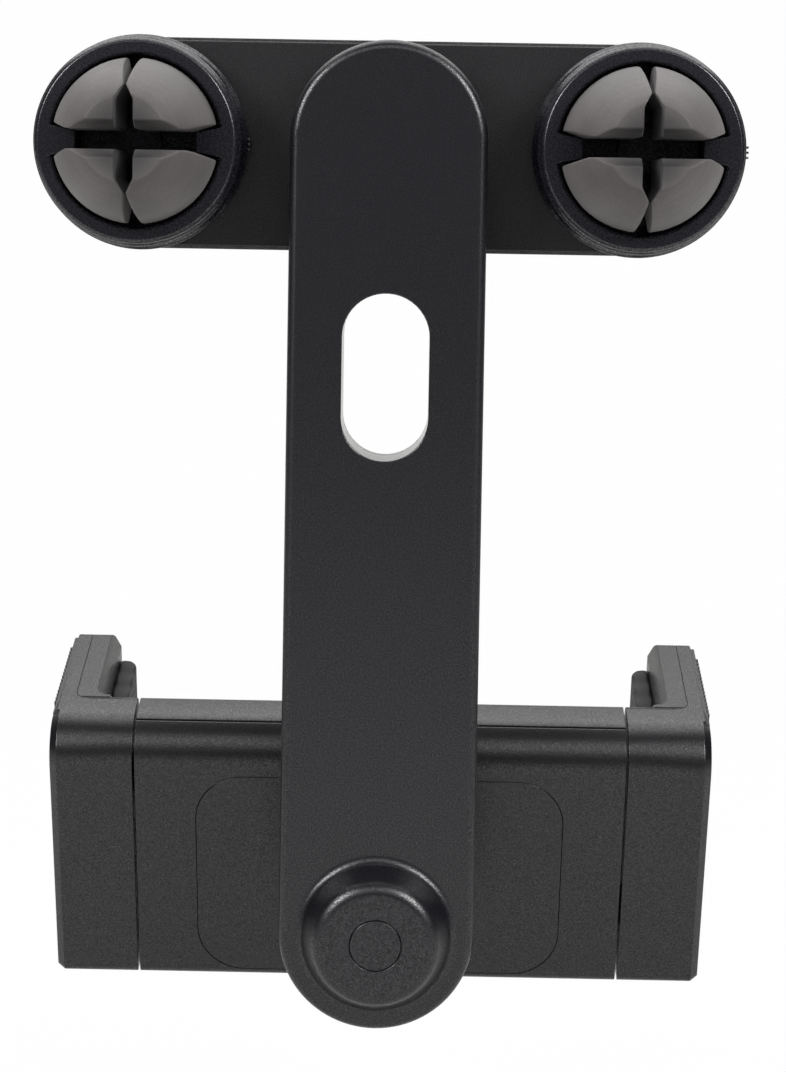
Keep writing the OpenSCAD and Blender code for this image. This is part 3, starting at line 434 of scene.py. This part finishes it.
class HolderLook(PropertyGroup):
    """Edges and colours of the holder. The edges are in millimetres"""
    case_edge: FloatProperty(name="Case edge", description="Radius of the cases' moulded edges, in mm",
                             default=0.18, min=0.05, max=0.2)
    clip_edge: FloatProperty(name="Clip edge", description="Radius of the clips' moulded edges, in mm",
                             default=0.12, min=0.05, max=0.2)
    boot_edge: FloatProperty(name="Boot edge", description="Radius of the rubber boots' edges, in mm",
                             default=0.2, min=0.05, max=0.3)
    bar_colour: paint("Bar colour", "Colour of the bar's ABS", "#09090d")
    arm_colour: paint("Arm colour", "Colour of the arm's ABS", "#0f0f15")
    cradle_colour: paint("Cradle colour", "Colour of the cradle's and the jaws' ABS", "#0b0b0e")
    clip_colour: paint("Clip colour", "Colour of the clips' collars and fingers", "#1c1c22")
    boot_colour: paint("Boot colour", "Colour of the clips' rubber boots", "#464241")
    pad_colour: paint("Pad colour", "Colour of the phone's rubber pads", "#0b0a0b")
    screw_colour: paint("Screw colour", "Colour of the covers' and jaws' blackened screws", "#55555a")
    steel_colour: paint("Steel colour", "Colour of the inner screws and washers", "#a5a6aa")


class StudioLook(PropertyGroup):
    """The camera's lens, the lamps' powers, the room and the floor"""
    lens: FloatProperty(name="Lens", description="Camera lens in mm on a 36 mm high frame",
                        default=85.56, min=20, max=200)
    key: FloatProperty(name="Right softbox", description="Power of the upper right softbox",
                       default=4.6, min=0, max=50, subtype="POWER")
    fill: FloatProperty(name="Left softbox", description="Power of the upper left softbox",
                        default=4.8, min=0, max=50, subtype="POWER")
    front: FloatProperty(name="Front softbox", description="Power of the wide softbox over the camera",
                         default=2.4, min=0, max=50, subtype="POWER")
    top: FloatProperty(name="Top softbox", description="Power of the softbox above and behind",
                       default=6.2, min=0, max=50, subtype="POWER")
    surround: FloatProperty(name="Surround", description="Grey level of the dim room around the object",
                            default=0.07, min=0, max=1)
    drop: FloatProperty(name="Floor drop", description="How far the floor lies under the lowest piece, in mm",
                        default=45.0, min=5, max=300)


# Pieces

class HOLDER_OT_bar(Operator):
    """Dress the bar that carries the two clips"""
    bl_idname = "holder.bar"
    bl_label = "Bar"

    def execute(self, context):
        look = context.scene.holder_look
        for node in ("bar_housing", "bar_cover"):
            dress(node)
            soften(node, look.case_edge)
        dress("arm_bar_screws")
        cross_screws("bar_cover_cross_screws", "bar_cover_screws", "arm", head_height=1.2)
        return {"FINISHED"}


class HOLDER_OT_clips(Operator):
    """Dress the two vent clips: collars, fingers and rubber boots"""
    bl_idname = "holder.clips"
    bl_label = "Vent clips"

    def execute(self, context):
        look = context.scene.holder_look
        for side in ("left", "right"):
            for part in ("collar", "core", "boots", "washer", "screw"):
                dress(f"{side}_clip_{part}")
            soften(f"{side}_clip_collar", look.clip_edge)
            soften(f"{side}_clip_core", look.clip_edge)
            soften(f"{side}_clip_boots", look.boot_edge)
        return {"FINISHED"}


class HOLDER_OT_arm(Operator):
    """Dress the slotted arm and its socket"""
    bl_idname = "holder.arm"
    bl_label = "Arm"

    def execute(self, context):
        look = context.scene.holder_look
        for node in ("arm_shell", "arm_cover", "socket_ring", "dome_plug"):
            dress(node)
        soften("arm_shell", look.case_edge, join=0.015)
        # A wider edge would close the cover's slot
        soften("arm_cover", look.case_edge * 0.55)
        soften("socket_ring", look.case_edge)
        soften("dome_plug", look.case_edge)
        dress("socket_spring")
        cross_screws("arm_cover_cross_screws", "arm_cover_screws", "arm", head_height=1.2)
        return {"FINISHED"}


class HOLDER_OT_ball_joint(Operator):
    """Dress the ball, its liner and its friction cup"""
    bl_idname = "holder.ball_joint"
    bl_label = "Ball joint"

    def execute(self, context):
        for node in ("friction_cup", "ball_liner", "ball_stud", "stud_screw"):
            dress(node)
        return {"FINISHED"}


class HOLDER_OT_cradle(Operator):
    """Dress the cradle's housing and what it holds"""
    bl_idname = "holder.cradle"
    bl_label = "Cradle"

    def execute(self, context):
        look = context.scene.holder_look
        for node in ("joint_panel", "rear_shell", "front_shell", "front_pad"):
            dress(node)
            soften(node, look.case_edge * 0.5)
        for node in ("shell_screws", "pinion_pin", "pinion"):
            dress(node)
        return {"FINISHED"}


class HOLDER_OT_jaws(Operator):
    """Dress the two sliding jaws"""
    bl_idname = "holder.jaws"
    bl_label = "Jaws"

    def execute(self, context):
        look = context.scene.holder_look
        for side in ("left", "right"):
            for part in ("shell", "liner", "pad", "rack", "spring"):
                dress(f"{side}_jaw_{part}")
            cross_screws(f"{side}_jaw_cross_screw", f"{side}_jaw_screw", f"{side}_jaw",
                         head_height=0.8, lean=CRADLE_LEAN)
            soften(f"{side}_jaw_shell", look.case_edge * 0.5, join=0.006, flatten=False)
            soften(f"{side}_jaw_liner", look.case_edge * 0.55)
            soften(f"{side}_jaw_pad", look.case_edge * 2.5, segments=3)
        return {"FINISHED"}


# Studio

def softbox(name, location, size, power):
    """A rectangular softbox that looks at the holder's middle. Places and sizes are in metres."""
    lamp = bpy.data.lights.new(name, "AREA")
    lamp.shape = "RECTANGLE"
    lamp.size, lamp.size_y = size
    lamp.energy = power
    made = bpy.data.objects.new(name, lamp)
    bpy.context.scene.collection.objects.link(made)
    middle = Vector((0, 0, -0.06))
    turn = (middle - Vector(location)).to_track_quat("-Z", "Y").to_matrix().to_4x4()
    made.matrix_world = Matrix.Translation(Vector(location)) @ turn


class HOLDER_OT_studio(Operator):
    """Set the floor, the backdrop, the lamps and the camera"""
    bl_idname = "holder.studio"
    bl_label = "Studio"

    def execute(self, context):
        look = context.scene.studio_look
        self.floor(look)
        self.lamps(look)
        self.room(context, look)
        self.camera(context, look)
        return {"FINISHED"}

    def floor(self, look):
        """One sweep of pale matte card: floor, a round bend and the wall behind. The camera sees it nearly
        white, and it keeps a faint shadow."""
        material, tree = new_material("pale_matte_card")
        path = add(tree, "ShaderNodeLightPath")
        place = add(tree, "ShaderNodeTexCoord")
        fibre = add(tree, "ShaderNodeTexNoise", values={"Scale": 1 / (2 * MM), "Detail": 4.0},
                    links={"Vector": place.outputs["Object"]})
        relief = add(tree, "ShaderNodeBump", values={"Strength": 0.1, "Distance": 0.02 * MM},
                     links={"Height": fibre.outputs["Fac"]})
        card = add(tree, "ShaderNodeBsdfDiffuse", values={"Color": linear("#c8c8c6")},
                   links={"Normal": relief.outputs["Normal"]})
        glow = add(tree, "ShaderNodeEmission", values={"Color": (1, 1, 1, 1), "Strength": 1.0})
        mirrored = add(tree, "ShaderNodeMath", {"operation": "MULTIPLY"}, {1: 0.1},
                       {0: path.outputs["Is Glossy Ray"]})
        seen = add(tree, "ShaderNodeMath", {"operation": "MAXIMUM"},
                   links={0: path.outputs["Is Camera Ray"], 1: path.outputs["Is Transmission Ray"]})
        direct = add(tree, "ShaderNodeMath", {"operation": "MULTIPLY"}, {1: 0.97}, {0: seen.outputs[0]})
        share = add(tree, "ShaderNodeMath", {"operation": "MAXIMUM"},
                    links={0: direct.outputs[0], 1: mirrored.outputs[0]})
        mixed = add(tree, "ShaderNodeMixShader",
                    links={0: share.outputs[0], 1: card.outputs["BSDF"], 2: glow.outputs["Emission"]})
        add(tree, "ShaderNodeOutputMaterial", links={"Surface": mixed.outputs["Shader"]})

        low = cad_box[0][2] / MM - look.drop
        near, far, bend, high, wide, steps = -700.0, 700.0, 250.0, 900.0, 1400.0, 16
        profile = [(near, low), (far - bend, low)]
        for step in range(1, steps + 1):
            turn = step * math.pi / (2 * steps)
            profile.append((far - bend + bend * math.sin(turn), low + bend * (1 - math.cos(turn))))
        profile.append((far, high))
        vertices = [(side * wide, y, z) for y, z in profile for side in (-1, 1)]
        faces = [(2 * i, 2 * i + 1, 2 * i + 3, 2 * i + 2) for i in range(len(profile) - 1)]
        mesh_object("studio_sweep", vertices, faces, material, 60)

    def lamps(self, look):
        """A softbox on either side of the camera, a wide one over it, and one above and behind."""
        softbox("softbox_right", (0.47, -0.46, 0.31), (0.22, 0.28), look.key)
        softbox("softbox_left", (-0.48, -0.47, 0.30), (0.22, 0.28), look.fill)
        softbox("softbox_front", (0.16, -0.60, 0.44), (1.1, 0.40), look.front)
        softbox("softbox_top", (0, 0.25, 0.56), (1.1, 0.70), look.top)

    def room(self, context, look):
        """A dim room that the camera sees as white."""
        world = bpy.data.worlds.new("studio_room")
        world.use_nodes = True
        tree = world.node_tree
        tree.nodes.clear()
        path = add(tree, "ShaderNodeLightPath")
        white = add(tree, "ShaderNodeBackground", values={"Color": (1, 1, 1, 1), "Strength": 1.0})
        dim = add(tree, "ShaderNodeBackground",
                  values={"Color": (0.86, 0.84, 1.0, 1), "Strength": look.surround})
        mixed = add(tree, "ShaderNodeMixShader",
                    links={0: path.outputs["Is Camera Ray"], 1: dim.outputs["Background"],
                           2: white.outputs["Background"]})
        add(tree, "ShaderNodeOutputWorld", links={"Surface": mixed.outputs["Shader"]})
        context.scene.world = world
        context.scene.view_settings.view_transform = "Standard"

    def camera(self, context, look):
        """The photograph's camera, a little under the clips and looking down. Its place is in millimetres."""
        place = Vector((4.043, -322.007, -7.028))
        yaw, pitch, roll = 0.00845, 0.13024, 0.01734
        forward = Vector((-math.sin(yaw) * math.cos(pitch), math.cos(yaw) * math.cos(pitch),
                          -math.sin(pitch)))
        level = Vector((math.cos(yaw), math.sin(yaw), 0))
        upright = level.cross(forward)
        right = math.cos(roll) * level + math.sin(roll) * upright
        up = -math.sin(roll) * level + math.cos(roll) * upright
        data = bpy.data.cameras.new("photo_camera")
        data.sensor_fit = "VERTICAL"
        data.sensor_height = 36.0
        data.lens = look.lens
        data.clip_start, data.clip_end = 0.01, 10.0
        made = bpy.data.objects.new("photo_camera", data)
        context.scene.collection.objects.link(made)
        turn = Matrix((right, up, -forward)).transposed().to_4x4()
        made.matrix_world = Matrix.Translation(place * MM) @ turn
        context.scene.camera = made


# Panel and run

STEPS = (HOLDER_OT_bar, HOLDER_OT_clips, HOLDER_OT_arm, HOLDER_OT_ball_joint, HOLDER_OT_cradle,
         HOLDER_OT_jaws, HOLDER_OT_studio)


class HOLDER_PT_panel(Panel):
    """Lists the pieces of the phone holder and its studio"""
    bl_idname = "HOLDER_PT_panel"
    bl_label = "Phone holder"
    bl_space_type = "VIEW_3D"
    bl_region_type = "UI"
    bl_category = "Phone holder"

    def draw(self, context):
        for group in (context.scene.holder_look, context.scene.studio_look):
            for name in group.__annotations__:
                self.layout.prop(group, name)
        for step in STEPS:
            self.layout.operator(step.bl_idname)


CLASSES = (HolderLook, StudioLook) + STEPS + (HOLDER_PT_panel,)


def register():
    for item in CLASSES:
        bpy.utils.register_class(item)
    bpy.types.Scene.holder_look = PointerProperty(type=HolderLook)
    bpy.types.Scene.studio_look = PointerProperty(type=StudioLook)


def unregister():
    del bpy.types.Scene.studio_look
    del bpy.types.Scene.holder_look
    for item in reversed(CLASSES):
        bpy.utils.unregister_class(item)


def main():
    """Runs every step in order."""
    register()
    for step in STEPS:
        family, name = step.bl_idname.split(".")
        if getattr(getattr(bpy.ops, family), name)() != {"FINISHED"}:
            raise RuntimeError(f"{step.bl_label} did not finish")


if __name__ == "__main__":
    main()
